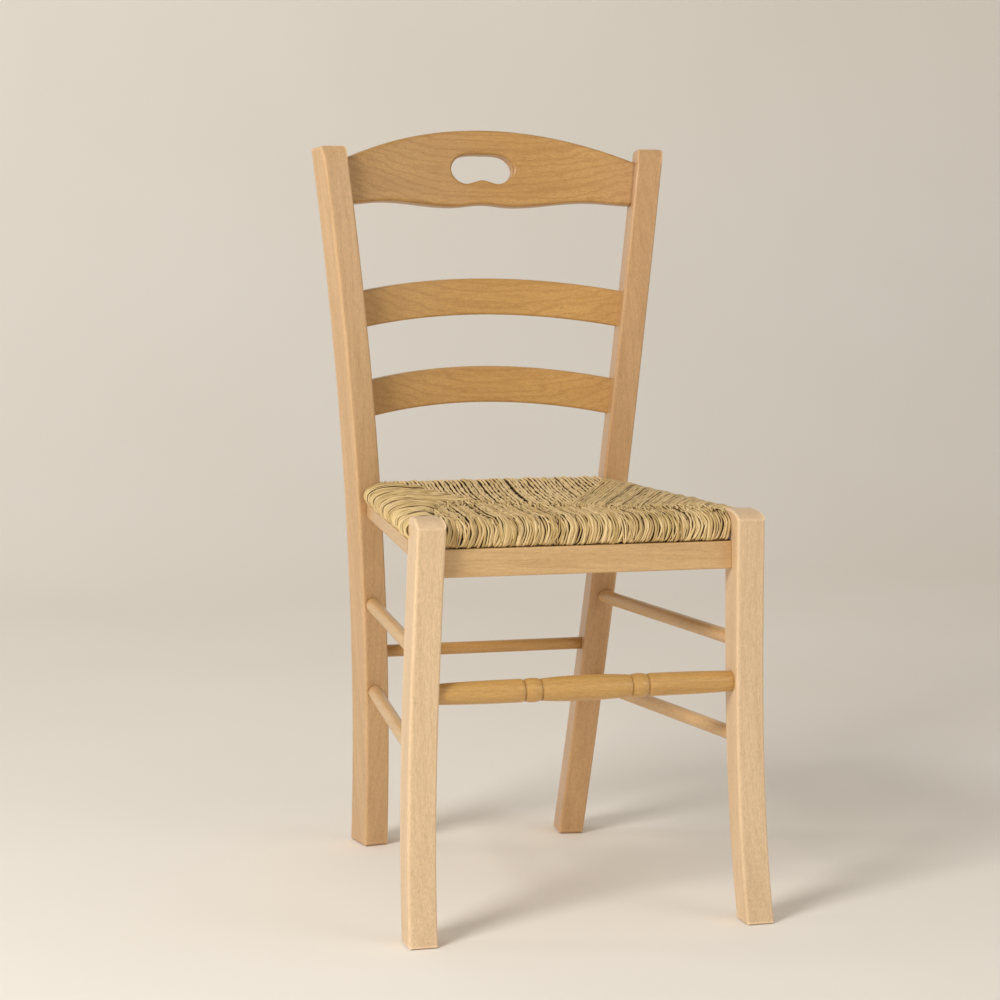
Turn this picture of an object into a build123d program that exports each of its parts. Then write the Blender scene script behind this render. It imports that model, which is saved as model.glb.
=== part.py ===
from build123d import *
import math
import os

# A wooden dining chair with a ladder back, turned and plain stretchers and a woven rush seat.
# Millimetres, +Z up, floor at z = 0, front of the chair towards -Y, mirrored about x = 0.
# The right half is modelled and mirrored. Depths "back" are measured from the front feet.

# Rear legs: places of the centre line, sideways and back, at four heights
post_height = 864.0
post_width = 31.0
post_foot_depth = 47.0
post_top_depth = 39.5
post_turn = 9.0
post_foot_x = 131.0
post_seat_x = 160.0
post_top_x = 201.5
post_foot_back = 496.0
post_knee_back = 438.0
post_waist_back = 417.0
post_top_back = 425.5
knee_height = 300.0
waist_height = 600.0

# Front legs: places of the centre line at the foot, calf, knee and top
leg_width = 32.5
leg_top_depth = 40.0
leg_foot_depth = 34.0
leg_foot_x = 195.5
leg_top_x = 183.0
leg_calf_back = 41.5
leg_knee_back = 45.5
leg_top_back = 40.0
leg_calf_height = 150.0
leg_knee_height = 300.0
leg_above_seat = 4.5

# Rounded arrises, feet and tops of the legs. A rounding is its reach along the end and down the side
arris_radius = 3.0
foot_rounding = (4.0, 4.0)
post_front_crown = (11.0, 30.0)
post_rear_crown = (4.0, 4.0)
post_inner_crown = (7.0, 9.0)
post_outer_crown = (4.0, 5.0)
leg_front_crown = (32.0, 13.0)
leg_rear_crown = (3.0, 3.0)
leg_inner_crown = (3.0, 3.0)
leg_outer_crown = (6.0, 8.0)
crown_room = 0.4

# Seat heights and rails
seat_height = 459.5
side_seat_lift = 3.5
seat_dip = 3.0
rush_wrap = 4.75
rush_roll_reach = 30.0
front_seat_rail_height = 20.0
side_seat_rail_height = 14.0
front_seat_rail_width = 22.0
side_seat_rail_width = 18.0
side_rail_inset = 3.0
seat_rail_radius = 6.5
seat_tenon_height = 9.0
seat_tenon_width = 7.0
rush_middle = 25.0
stuffing_thickness = 9.0
stuffing_margin = 46.0
stuffing_corner = 20.0

# Aprons under the seat
apron_setback = 18.0
apron_thickness = 20.0
apron_height = 31.0
side_apron_thickness = 18.0
side_apron_height = 17.0
side_apron_inset = 14.0
apron_radius = 2.0
apron_gap = 1.2
apron_tenon_width = 9.0
apron_tenon_height = 20.0
side_apron_tenon_height = 11.0

# Back: crest rail with a hand hole, and two slats
crest_drop = 16.0
crest_end_height = 53.0
crest_rise = 36.0
crest_thickness = 20.0
crest_bow = 38.0
crest_lean = 10.0
crest_behind = 8.0
crest_radius = 4.0
crest_lobe_at = 40.0
crest_lobe_drop = 3.5
crest_bump_drop = 0.5
crest_hollow_at = 130.0
crest_hollow_rise = 3.0
crest_tenon_height = 34.0
crest_tenon_thickness = 10.0
hole_width = 79.0
hole_height = 36.0
hole_above_bottom = 42.5
hole_rounding = 3.5
# Right half of the hole's outline, from its top to its bottom, as shares of its half width and half height
hole_outline = [
    (0, 1), (0.51, 0.95), (0.76, 0.77), (0.925, 0.42), (1, -0.03),
    (0.94, -0.47), (0.77, -0.83), (0.53, -1), (0.27, -0.89), (0, -0.75),
]
slat_height = 44.0
slat_thickness = 12.0
slat_radius = 2.5
slat_bow = 32.0
slat_rise = 14.0
slat_behind = 9.0
lower_gap_share = 0.315
middle_gap_share = 0.26

# Stretchers
front_stretcher_height = 270.0
rear_stretcher_height = 250.0
upper_stretcher_height = 313.0
lower_stretcher_height = 203.0
rear_stretcher_diameter = 15.0
side_stretcher_diameter = 16.5
round_tenon_diameter = 11.0
turned_end_diameter = 22.5
turned_swell_diameter = 26.0
turned_bead_diameter = 27.0
turned_neck_diameter = 24.5
turned_middle_diameter = 28.5
turned_groove_depth = 1.5
bead_at = 62.0
bead_width = 17.0
groove_width = 2.4

# Joints: tenon depth, room round a tenon, room at its end, and gaps at shoulders and round the rush
tenon_length = 12.0
tenon_gap = 0.15
tenon_end_gap = 0.8
shoulder_gap = 0.05
rush_gap = 0.3
pin_diameter = 4.0
pin_depth = 30.0
pin_gap = 0.1
pin_below_surface = 0.5

# Room for scribing a rail to a leg before it is trimmed, and spare length of cutting shapes
scribe = 3.0
crest_scribe = 8.0
spare = 40.0

turn = math.radians(post_turn)
leg_height = seat_height + leg_above_seat
foot_reach = (
    (post_foot_depth / 2 - arris_radius) * math.cos(turn)
    + (post_width / 2 - arris_radius) * math.sin(turn)
    + arris_radius
)
front_y = -(post_foot_back + foot_reach) / 2


def through(stations, at):
    """Smooth polynomial curve through a few (position, value) stations."""
    total = 0.0
    for here, value in stations:
        weight = 1.0
        for other, _ in stations:
            if other != here:
                weight *= (at - other) / (here - other)
        total += value * weight
    return total


def eased(stations, at):
    """Wave with level turning points at the (position, value) stations."""
    for (low, low_value), (high, high_value) in zip(stations, stations[1:]):
        if at <= high:
            share = (at - low) / (high - low)
            return low_value + (high_value - low_value) * (1 - math.cos(math.pi * share)) / 2
    return stations[-1][1]


def arc_drop(at, half_span, depth):
    """How far a circular arc of the given half span and depth has fallen at a place."""
    radius = (half_span**2 + depth**2) / (2 * depth)
    return radius - math.sqrt(radius**2 - at**2)


def mirrored(part):
    """The same piece on the left side."""
    return mirror(part, about=Plane.YZ)


def single(part):
    """The largest solid of a shape, without the offcuts of a trim."""
    return max(part.solids(), key=lambda solid: solid.volume)


# Rear legs


def post_x(z):
    return through([(0, post_foot_x), (seat_height, post_seat_x), (post_height, post_top_x)], z)


def post_y(z):
    stations = [
        (0, post_foot_back),
        (knee_height, post_knee_back),
        (waist_height, post_waist_back),
        (post_height, post_top_back),
    ]
    return front_y + through(stations, z)


def post_depth_at(z):
    return post_foot_depth + (post_top_depth - post_foot_depth) * z / post_height


def post_inner_x(z):
    """Middle of the inner face, which is turned towards the bowed back."""
    return post_x(z) - post_width / 2 * math.cos(turn)


def post_front_y(x, z):
    """Front face of the right rear leg at a sideways place."""
    half = post_depth_at(z) / 2
    along = (x - post_x(z) + half * math.sin(turn)) / math.cos(turn)
    return post_y(z) - half * math.cos(turn) - along * math.sin(turn)


def section_plane(x, y, z, angle=0.0):
    return Plane(origin=(x, y, z), x_dir=(math.cos(angle), -math.sin(angle), 0), z_dir=(0, 0, 1))


def post_blank(grow=0.0):
    """Right rear leg before its joints are cut, or the same grown all round for trimming."""
    count = 9
    sections = []
    for step in range(count):
        z = post_height * step / (count - 1)
        plane = section_plane(post_x(z), post_y(z), z, turn)
        width = post_width + 2 * grow
        depth = post_depth_at(z) + 2 * grow
        sections.append(plane * RectangleRounded(width, depth, arris_radius + grow))
    return loft(sections)


# Front legs


def leg_x(z):
    return leg_foot_x + (leg_top_x - leg_foot_x) * z / leg_height


def leg_depth_at(z):
    return leg_foot_depth + (leg_top_depth - leg_foot_depth) * z / leg_height


def leg_y(z):
    stations = [
        (0, leg_foot_depth / 2),
        (leg_calf_height, leg_calf_back),
        (leg_knee_height, leg_knee_back),
        (leg_height, leg_top_back),
    ]
    return front_y + through(stations, z)


def leg_inner_x(z):
    return leg_x(z) - leg_width / 2


def leg_rear_y(z):
    return leg_y(z) + leg_depth_at(z) / 2


def leg_blank(grow=0.0):
    """Right front leg before its joints are cut, or the same grown all round for trimming."""
    count = 7
    sections = []
    for step in range(count):
        z = leg_height * step / (count - 1)
        plane = section_plane(leg_x(z), leg_y(z), z)
        width = leg_width + 2 * grow
        depth = leg_depth_at(z) + 2 * grow
        sections.append(plane * RectangleRounded(width, depth, arris_radius + grow))
    return loft(sections)


def rounded_end(size, length, low, high):
    """Flat outline with its top edge at zero, whose two upper corners are quarter ellipses."""
    half = size / 2 + crown_room
    outline = [
        Line((low[0] - half, 0), (half - high[0], 0)),
        EllipticalCenterArc((half - high[0], -high[1]), *high, 0, arc_size=90),
        Polyline((half, -high[1]), (half, -length), (-half, -length), (-half, -low[1])),
        EllipticalCenterArc((low[0] - half, -low[1]), *low, 90, arc_size=90),
    ]
    return make_face(outline)


def end_cutter(plane, width, depth, sides, depths):
    """What is taken off the end of a leg to round it. The plane lies on the end, facing out."""
    reach = max(down for _, down in sides + depths) + arris_radius
    across = Plane(plane.origin, x_dir=plane.x_dir, z_dir=-plane.y_dir)
    along = Plane(plane.origin, x_dir=plane.y_dir, z_dir=plane.x_dir)
    side_profile = rounded_end(width, reach, *sides)
    depth_profile = rounded_end(depth, reach, *depths)
    kept = extrude(across * side_profile, amount=spare, both=True)
    kept &= extrude(along * depth_profile, amount=spare, both=True)
    around = plane * Box(2 * spare, 2 * spare, 2 * reach)
    below = plane * Pos(0, 0, -reach) * Box(4 * spare, 4 * spare, 2 * arris_radius)
    return around - below - kept


def foot_cutter(x, y, width, depth, angle=0.0):
    plane = Plane(origin=(x, y, 0), x_dir=(math.cos(angle), -math.sin(angle), 0), z_dir=(0, 0, -1))
    roundings = (foot_rounding, foot_rounding)
    return end_cutter(plane, width, depth, roundings, roundings)


def post_top_cutter():
    """Top of a rear leg, square to the leg's slope there, with its front swept back."""
    drop = post_front_crown[1]
    below = post_height - drop
    slope = Vector(post_x(post_height) - post_x(below), post_y(post_height) - post_y(below), drop)
    top = (post_x(post_height), post_y(post_height), post_height)
    plane = Plane(origin=top, x_dir=(math.cos(turn), -math.sin(turn), 0), z_dir=slope)
    sides = (post_inner_crown, post_outer_crown)
    depths = (post_front_crown, post_rear_crown)
    return end_cutter(plane, post_width, post_top_depth, sides, depths)


def leg_top_cutter():
    """Top of a front leg, which rounds over from the front face to the back edge."""
    plane = section_plane(leg_x(leg_height), leg_y(leg_height), leg_height)
    sides = (leg_inner_crown, leg_outer_crown)
    depths = (leg_front_crown, leg_rear_crown)
    return end_cutter(plane, leg_width, leg_top_depth, sides, depths)


# Straight rails and round stretchers


def lengthened(start, end, extra):
    """The two ends of a line, moved outwards along it."""
    way = (Vector(*end) - Vector(*start)).normalized()
    return Vector(*start) - way * extra, Vector(*end) + way * extra


def bar(start, end, width, height, radius, extra=0.0):
    """Straight bar of rounded section along a level line, longer by extra at each end."""
    first, last = lengthened(start, end, extra)
    way = (last - first).normalized()
    plane = Plane(origin=first, x_dir=way.cross(Vector(0, 0, 1)), z_dir=way)
    section = plane * RectangleRounded(width, height, radius)
    return extrude(section, amount=(last - first).length)


def rod(start, end, diameter, extra=0.0):
    """Straight round rod along a line, longer by extra at each end."""
    first, last = lengthened(start, end, extra)
    plane = Plane(origin=first, z_dir=last - first)
    return extrude(plane * Circle(diameter / 2), amount=(last - first).length)


def square_tenons(start, end, width, height, grow=0.0, end_room=0.0):
    """The bar that passes through a rail and stands out of it as a tenon at each end."""
    radius = arris_radius / 2 + grow
    return bar(start, end, width + 2 * grow, height + 2 * grow, radius, tenon_length + end_room)


def round_tenons(start, end, grow=0.0, end_room=0.0):
    return rod(start, end, round_tenon_diameter + 2 * grow, tenon_length + end_room)


right_post_grown = post_blank(shoulder_gap)
right_leg_grown = leg_blank(shoulder_gap)
left_post_grown = mirrored(right_post_grown)
left_leg_grown = mirrored(right_leg_grown)


def square_rail(ends, legs, size, radius, tenon):
    """A rail scribed to two legs, with its tenons, and the mortise that the tenons need."""
    body = bar(*ends, *size, radius, scribe)
    for leg in legs:
        body -= leg
    rail = single(body) + square_tenons(*ends, *tenon)
    mortise = square_tenons(*ends, *tenon, tenon_gap, tenon_end_gap)
    return single(rail), mortise


def round_rail(ends, legs, body):
    """A stretcher scribed to two legs, with round tenons, and its mortise."""
    for leg in legs:
        body -= leg
    rail = single(body) + round_tenons(*ends)
    mortise = round_tenons(*ends, tenon_gap, tenon_end_gap)
    return single(rail), mortise


def across_legs(y, z):
    """Ends of a line between the inner faces of the front legs."""
    x = leg_inner_x(z)
    return (-x, y, z), (x, y, z)


def across_posts(z):
    """Ends of a line between the middles of the rear legs' inner faces."""
    x = post_inner_x(z)
    y = post_y(z) + post_width / 2 * math.sin(turn)
    return (-x, y, z), (x, y, z)


def along_side(front_x, rear_x, z):
    """Ends of a line from the back of the right front leg to the front of the right rear leg."""
    return (front_x, leg_rear_y(z), z), (rear_x, post_front_y(rear_x, z), z)


# Heights of the seat parts, from the top of the rush downwards
front_rail_z = seat_height - rush_wrap - front_seat_rail_height / 2
side_rail_z = seat_height + side_seat_lift - rush_wrap - side_seat_rail_height / 2
front_apron_top = front_rail_z - front_seat_rail_height / 2 - rush_wrap - apron_gap
side_apron_top = side_rail_z - side_seat_rail_height / 2 - rush_wrap - apron_gap
front_apron_z = front_apron_top - apron_height / 2
rear_apron_z = side_apron_top - apron_height / 2
side_apron_z = side_apron_top - side_apron_height / 2

# Aprons
apron_face_y = leg_y(front_apron_z) - leg_depth_at(front_apron_z) / 2 + apron_setback
front_pair = (left_leg_grown, right_leg_grown)
rear_pair = (left_post_grown, right_post_grown)
right_pair = (right_leg_grown, right_post_grown)

apron_size = (apron_thickness, apron_height)
apron_tenon = (apron_tenon_width, apron_tenon_height)
front_apron, front_apron_mortise = square_rail(
    across_legs(apron_face_y + apron_thickness / 2, front_apron_z),
    front_pair,
    apron_size,
    apron_radius,
    apron_tenon,
)
rear_apron, rear_apron_mortise = square_rail(
    across_posts(rear_apron_z), rear_pair, apron_size, apron_radius, apron_tenon
)

side_face_front_x = leg_x(side_apron_z) + leg_width / 2
side_face_rear_x = post_x(side_apron_z) + post_width / 2 - side_apron_inset
side_apron_ends = along_side(
    side_face_front_x - side_apron_thickness / 2,
    side_face_rear_x - side_apron_thickness / 2,
    side_apron_z,
)
right_apron, side_apron_mortise = square_rail(
    side_apron_ends,
    right_pair,
    (side_apron_thickness, side_apron_height),
    apron_radius,
    (apron_tenon_width, side_apron_tenon_height),
)

# Rails that carry the rush
seat_tenon = (seat_tenon_width, seat_tenon_height)
front_seat_size = (front_seat_rail_width, front_seat_rail_height)
side_seat_size = (side_seat_rail_width, side_seat_rail_height)
front_rail_y = apron_face_y + rush_wrap + front_seat_rail_width / 2
seat_front_rail, seat_front_mortise = square_rail(
    across_legs(front_rail_y, front_rail_z),
    front_pair,
    front_seat_size,
    seat_rail_radius,
    seat_tenon,
)
seat_rear_rail, seat_rear_mortise = square_rail(
    across_posts(side_rail_z), rear_pair, side_seat_size, seat_rail_radius, seat_tenon
)
side_rail_in = side_rail_inset + side_seat_rail_width / 2
side_rail_ends = along_side(
    side_face_front_x - side_rail_in, side_face_rear_x - side_rail_in, side_rail_z
)
seat_right_rail, seat_side_mortise = square_rail(
    side_rail_ends, right_pair, side_seat_size, seat_rail_radius, seat_tenon
)

# Stretchers


def plain_stretcher(ends, legs, diameter):
    return round_rail(ends, legs, rod(*ends, diameter, scribe))


def turned_body(ends):
    """Turned stretcher: swelling ends, two beads between grooves, and a barrel in the middle."""
    reach = ends[1][0] + scribe
    bead_in = bead_at - bead_width / 2
    bead_out = bead_at + bead_width / 2
    neck = turned_neck_diameter / 2
    groove = neck - turned_groove_depth
    outline = [
        Line((0, 0), (0, turned_middle_diameter / 2)),
        Spline(
            (0, turned_middle_diameter / 2),
            (bead_in - groove_width, neck),
            tangents=[(1, 0), (1, -0.1)],
        ),
    ]
    for low, high in ((bead_in - groove_width, bead_in), (bead_out, bead_out + groove_width)):
        middle = (low + high) / 2
        outline.append(ThreePointArc((low, neck), (middle, groove), (high, neck)))
    outline.append(
        ThreePointArc((bead_in, neck), (bead_at, turned_bead_diameter / 2), (bead_out, neck))
    )
    swell = (bead_out + groove_width + groove_width, turned_swell_diameter / 2)
    outline += [
        Line((bead_out + groove_width, neck), swell),
        Spline(
            swell,
            (reach, turned_end_diameter / 2),
            tangents=[(1, 0), (1, -0.05)],
        ),
        Line((reach, turned_end_diameter / 2), (reach, 0)),
        Line((reach, 0), (0, 0)),
    ]
    half = revolve(make_face(outline), Axis.X)
    return Pos(0, ends[0][1], ends[0][2]) * (half + mirror(half, about=Plane.YZ))


front_stretcher_ends = across_legs(leg_y(front_stretcher_height), front_stretcher_height)
front_stretcher, front_stretcher_mortise = round_rail(
    front_stretcher_ends, front_pair, turned_body(front_stretcher_ends)
)
rear_stretcher, rear_stretcher_mortise = plain_stretcher(
    across_posts(rear_stretcher_height), rear_pair, rear_stretcher_diameter
)
side_stretchers = {}
side_stretcher_mortises = []
for level, z in (("upper", upper_stretcher_height), ("lower", lower_stretcher_height)):
    side_ends = along_side(leg_x(z), post_x(z), z)
    stretcher, mortise = plain_stretcher(side_ends, right_pair, side_stretcher_diameter)
    side_stretchers[level] = stretcher
    side_stretcher_mortises.append(mortise)

# Back: heights of the crest rail and the slats where they meet the rear legs
crest_end_top = post_height - crest_drop
crest_end_bottom = crest_end_top - crest_end_height
open_back = crest_end_bottom - seat_height - side_seat_lift - 2 * slat_height
lower_slat_z = seat_height + side_seat_lift + lower_gap_share * open_back + slat_height / 2
upper_slat_z = lower_slat_z + slat_height + middle_gap_share * open_back


def curved_board(start, end, place, count=13):
    """Board lofted across the chair. The place function gives back, height, slope and section."""
    sections = []
    for step in range(count):
        x = start + (end - start) * step / (count - 1)
        y, z, slope, lean, thickness, height, radius = place(x)
        way = Vector(1, slope, 0).normalized()
        upright = Vector(0, math.sin(lean), math.cos(lean))
        plane = Plane(origin=(x, y, z), x_dir=way.cross(upright), z_dir=way)
        sections.append(plane * RectangleRounded(thickness, height, radius))
    return loft(sections)


def bow_slope(x, half_span, bow):
    radius = (half_span**2 + bow**2) / (2 * bow)
    return -x / math.sqrt(radius**2 - x**2)


def slat(z, reach_extra, grow=0.0):
    """A slat bowed backwards in plan and arched upwards, housed in the rear legs at its ends."""
    half_span = post_inner_x(z)
    end_y = post_y(z) + slat_behind

    def place(x):
        y = end_y + slat_bow - arc_drop(x, half_span, slat_bow)
        height = z + slat_rise - arc_drop(x, half_span, slat_rise)
        slope = bow_slope(x, half_span, slat_bow)
        size = (slat_thickness + 2 * grow, slat_height + 2 * grow, slat_radius + grow)
        return (y, height, slope, 0.0, *size)

    reach = half_span + reach_extra
    return curved_board(-reach, reach, place)


crest_lean_angle = math.radians(crest_lean)
crest_middle_z = (crest_end_top + crest_end_bottom) / 2
crest_half_span = post_inner_x(crest_middle_z)
crest_end_y = post_y(crest_middle_z) + crest_behind


def crest_y(x, z):
    """Middle of the crest rail's thickness: bowed backwards, leaning back with height."""
    bow = crest_bow - arc_drop(x, crest_half_span, crest_bow)
    return crest_end_y + bow + (z - crest_middle_z) * math.tan(crest_lean_angle)


def crest_top(x):
    return crest_end_top + crest_rise - arc_drop(x, crest_half_span, crest_rise)


def crest_bottom(x):
    """Waved lower edge: a small bump in the middle, a lobe each side, then a long hollow."""
    wave = [
        (0, crest_end_bottom - crest_bump_drop),
        (crest_lobe_at, crest_end_bottom - crest_lobe_drop),
        (crest_hollow_at, crest_end_bottom + crest_hollow_rise),
        (crest_half_span, crest_end_bottom),
    ]
    return eased(wave, abs(x))


def crest_blank():
    def place(x):
        middle = (crest_top(x) + crest_bottom(x)) / 2
        height = (crest_top(x) - crest_bottom(x)) / math.cos(crest_lean_angle)
        slope = bow_slope(x, crest_half_span, crest_bow)
        size = (crest_thickness, height, crest_radius)
        return (crest_y(x, middle), middle, slope, crest_lean_angle, *size)

    reach = crest_half_span + crest_scribe
    return curved_board(-reach, reach, place, 25)


def crest_tenon(reach_extra, grow=0.0):
    """Thinner and lower end of the crest rail that enters the right rear leg."""

    def place(x):
        slope = bow_slope(x, crest_half_span, crest_bow)
        size = (crest_tenon_thickness + 2 * grow, crest_tenon_height + 2 * grow, arris_radius + grow)
        return (crest_y(x, crest_middle_z), crest_middle_z, slope, crest_lean_angle, *size)

    return curved_board(crest_half_span - spare, crest_half_span + reach_extra, place, 4)


hole_z = crest_end_bottom - crest_bump_drop + hole_above_bottom
hole_y = crest_y(0, hole_z)


def hand_hole():
    """Bean-shaped grip hole, running square through the leaning rail."""
    right = [(x * hole_width / 2, y * hole_height / 2) for x, y in hole_outline]
    left = [(-x, y) for x, y in reversed(right[1:-1])]
    outline = make_face(Spline(*right, *left, periodic=True))
    square = Vector(0, -math.cos(crest_lean_angle), math.sin(crest_lean_angle))
    plane = Plane(origin=(0, hole_y, hole_z), x_dir=(1, 0, 0), z_dir=square)
    return extrude(plane * outline, amount=spare, both=True)


def crest_rail():
    """The crest rail: its hole rounded at both faces, its ends scribed to the legs and tenoned."""
    rail = single(crest_blank() - hand_hole())
    rim = []
    for edge in rail.edges():
        at = edge.center()
        in_hole = abs(at.X) < hole_width and abs(at.Z - hole_z) < hole_height / 2 + crest_thickness / 2
        if in_hole and abs(at.Y - crest_y(at.X, at.Z)) > crest_thickness / 3:
            rim.append(edge)
    rail = fillet(rim, hole_rounding)
    for leg in rear_pair:
        rail -= leg
    tenon = crest_tenon(tenon_length)
    return single(single(rail) + tenon + mirrored(tenon))


crest = crest_rail()
slat_heights = {"upper_slat": upper_slat_z, "lower_slat": lower_slat_z}
slats = {name: slat(z, tenon_length) for name, z in slat_heights.items()}
back_mortises = [crest_tenon(tenon_length + tenon_end_gap, tenon_gap)]
back_mortises += [slat(z, tenon_length + tenon_end_gap, tenon_gap) for z in slat_heights.values()]

# Pins from behind through the tenons in the rear legs
pin_levels = [
    crest_middle_z - crest_tenon_height / 4,
    crest_middle_z + crest_tenon_height / 4,
    upper_slat_z,
    lower_slat_z,
]


def pin(z, diameter, start, end):
    """A pin along the depth of the right rear leg, halfway along a tenon, from start to end."""
    inwards = Vector(-math.sin(turn), -math.cos(turn), 0)
    side = tenon_length / 2 - post_width / 2
    centre = Vector(post_x(z), post_y(z), z) + Vector(math.cos(turn), -math.sin(turn), 0) * side
    rear = centre - inwards * (post_depth_at(z) / 2 - start)
    return extrude(Plane(origin=rear, z_dir=inwards) * Circle(diameter / 2), amount=end - start)


right_pins = [pin(z, pin_diameter, pin_below_surface, pin_depth) for z in pin_levels]
right_pin_holes = [
    pin(z, pin_diameter + 2 * pin_gap, -scribe, pin_depth + tenon_end_gap) for z in pin_levels
]
left_pins = [mirrored(part) for part in right_pins]
all_pin_holes = right_pin_holes + [mirrored(part) for part in right_pin_holes]


def drilled(part):
    for hole in all_pin_holes:
        part -= hole
    return single(part)


crest = drilled(crest)
slats = {name: drilled(part) for name, part in slats.items()}


# Legs with their mortises


def right_rear_leg():
    leg = post_blank() - post_top_cutter()
    leg -= foot_cutter(post_x(0), post_y(0), post_width, post_foot_depth, turn)
    cuts = [rear_apron_mortise, seat_rear_mortise, rear_stretcher_mortise, side_apron_mortise]
    cuts += [seat_side_mortise] + side_stretcher_mortises + back_mortises + right_pin_holes
    for cut in cuts:
        leg -= cut
    return single(leg)


def right_front_leg():
    leg = leg_blank() - leg_top_cutter()
    leg -= foot_cutter(leg_x(0), leg_y(0), leg_width, leg_foot_depth)
    cuts = [front_apron_mortise, seat_front_mortise, front_stretcher_mortise]
    cuts += [side_apron_mortise, seat_side_mortise] + side_stretcher_mortises
    for cut in cuts:
        leg -= cut
    return single(leg)


rear_leg = right_rear_leg()
front_leg = right_front_leg()

# Woven rush: four panels that roll over the seat rails and meet at mitres, round a loose stuffing
seat_middle_top = seat_height - seat_dip
seat_middle_bottom = seat_middle_top - rush_middle
corner_front = (leg_inner_x(side_rail_z), leg_rear_y(side_rail_z))
corner_rear_x = post_x(side_rail_z) - post_width / 2
corner_rear = (corner_rear_x, post_front_y(corner_rear_x, side_rail_z))
seam_front_y = corner_front[1] + corner_front[0]
seam_rear_y = corner_rear[1] - corner_rear[0]


def rolled_profile(rail_size, rail_z, reach):
    """Section of a panel: a roll round the rail, thinning towards the middle of the seat."""
    half_width, half_height = (size / 2 + rush_wrap for size in rail_size)
    nose = (-half_width, rail_z)
    top_x = rush_roll_reach - half_width
    top = (top_x, rail_z + half_height)
    bottom = (-half_width + half_height, rail_z - half_height)
    under = half_height * math.sqrt(0.5)
    lower = (-half_width + half_height - under, rail_z - under)
    outline = [
        EllipticalCenterArc((top_x, rail_z), rush_roll_reach, half_height, 90, arc_size=90),
        Line(top, (reach, seat_middle_top)),
        Line((reach, seat_middle_top), (reach, seat_middle_bottom)),
        Line((reach, seat_middle_bottom), bottom),
        ThreePointArc(bottom, lower, nose),
    ]
    return make_face(outline)


def panel(start, end, rail_size, corners):
    """A panel along a rail from start to end, cut to its plan and clear of the wood in it."""
    way = (Vector(*end) - Vector(*start)).normalized()
    inward = Vector(0, 0, 1).cross(way)
    first, last = lengthened(start, end, 2 * spare)
    origin = Vector(first.X, first.Y, 0)
    reach = max(inward.dot(Vector(x, y, 0) - origin) for x, y in corners) + scribe
    plane = Plane(origin=origin, x_dir=inward, z_dir=inward.cross(Vector(0, 0, 1)))
    profile = plane * rolled_profile(rail_size, start[2], reach)
    form = extrude(profile, amount=(last - first).length)
    plan = make_face(Polyline(*corners, close=True))
    plan = offset(plan, -rush_gap / 2, kind=Kind.INTERSECTION)
    form &= extrude(plan, amount=2 * seat_height)
    for other in rush_room:
        form -= other
    return single(form)


def bar_room(ends, width, height, radius):
    """A rail with the clearance that the rush keeps from it."""
    return bar(*ends, width + 2 * rush_gap, height + 2 * rush_gap, radius + rush_gap, tenon_length)


def stuffing(grow=0.0):
    """Loose rush between the two layers of the weave, or the room that it needs."""
    front = (corner_front[0] - stuffing_margin, corner_front[1] + stuffing_margin / 2)
    rear = (corner_rear[0] - stuffing_margin, corner_rear[1] - stuffing_margin / 2)
    corners = [front, rear, (-rear[0], rear[1]), (-front[0], front[1])]
    outline = make_face(Polyline(*corners, close=True))
    outline = fillet(outline.vertices(), stuffing_corner)
    outline = offset(outline, grow) if grow else outline
    middle = (seat_middle_top + seat_middle_bottom) / 2
    height = stuffing_thickness + 2 * grow
    return Pos(0, 0, middle - height / 2) * extrude(outline, amount=height)


pad = stuffing()
front_ends = across_legs(front_rail_y, front_rail_z)
rear_ends = tuple(reversed(across_posts(side_rail_z)))
side_room = [
    post_blank(rush_gap),
    leg_blank(rush_gap),
    bar_room(side_rail_ends, *side_seat_size, seat_rail_radius),
    bar_room(side_apron_ends, side_apron_thickness, side_apron_height, apron_radius),
]
rush_room = side_room + [mirrored(part) for part in side_room]
rush_room += [
    bar_room(front_ends, *front_seat_size, seat_rail_radius),
    bar_room(rear_ends, *side_seat_size, seat_rail_radius),
    stuffing(rush_gap),
]

outer = 3 * spare
left_corner_front = (-corner_front[0], corner_front[1])
left_corner_rear = (-corner_rear[0], corner_rear[1])
front_plan = [
    (-corner_front[0], front_y),
    (corner_front[0], front_y),
    corner_front,
    (0, seam_front_y),
    left_corner_front,
]
rear_plan = [
    (corner_rear[0], corner_rear[1] + outer),
    (-corner_rear[0], corner_rear[1] + outer),
    left_corner_rear,
    (0, seam_rear_y),
    corner_rear,
]
right_plan = [
    (corner_front[0] + outer, corner_front[1]),
    (corner_rear[0] + outer, corner_rear[1]),
    corner_rear,
    (0, seam_rear_y),
    (0, seam_front_y),
    corner_front,
]
rush_front = panel(*front_ends, front_seat_size, front_plan)
rush_rear = panel(*rear_ends, side_seat_size, rear_plan)
rush_right = panel(*side_rail_ends, side_seat_size, right_plan)

pieces = {
    "rear_leg_right": rear_leg,
    "rear_leg_left": mirrored(rear_leg),
    "front_leg_right": front_leg,
    "front_leg_left": mirrored(front_leg),
    "crest_rail": crest,
    "front_apron": front_apron,
    "rear_apron": rear_apron,
    "right_apron": right_apron,
    "left_apron": mirrored(right_apron),
    "front_stretcher": front_stretcher,
    "rear_stretcher": rear_stretcher,
    "seat_front_rail": seat_front_rail,
    "seat_rear_rail": seat_rear_rail,
    "seat_right_rail": seat_right_rail,
    "seat_left_rail": mirrored(seat_right_rail),
    "rush_front": rush_front,
    "rush_rear": rush_rear,
    "rush_right": rush_right,
    "rush_left": mirrored(rush_right),
    "rush_stuffing": pad,
    "tenon_pins": Compound(children=right_pins + left_pins),
}
pieces.update(slats)
for level, stretcher in side_stretchers.items():
    pieces[f"right_{level}_stretcher"] = stretcher
    pieces[f"left_{level}_stretcher"] = mirrored(stretcher)

os.makedirs("parts", exist_ok=True)
for name, piece in pieces.items():
    export_step(piece, f"parts/{name}.step")
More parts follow.
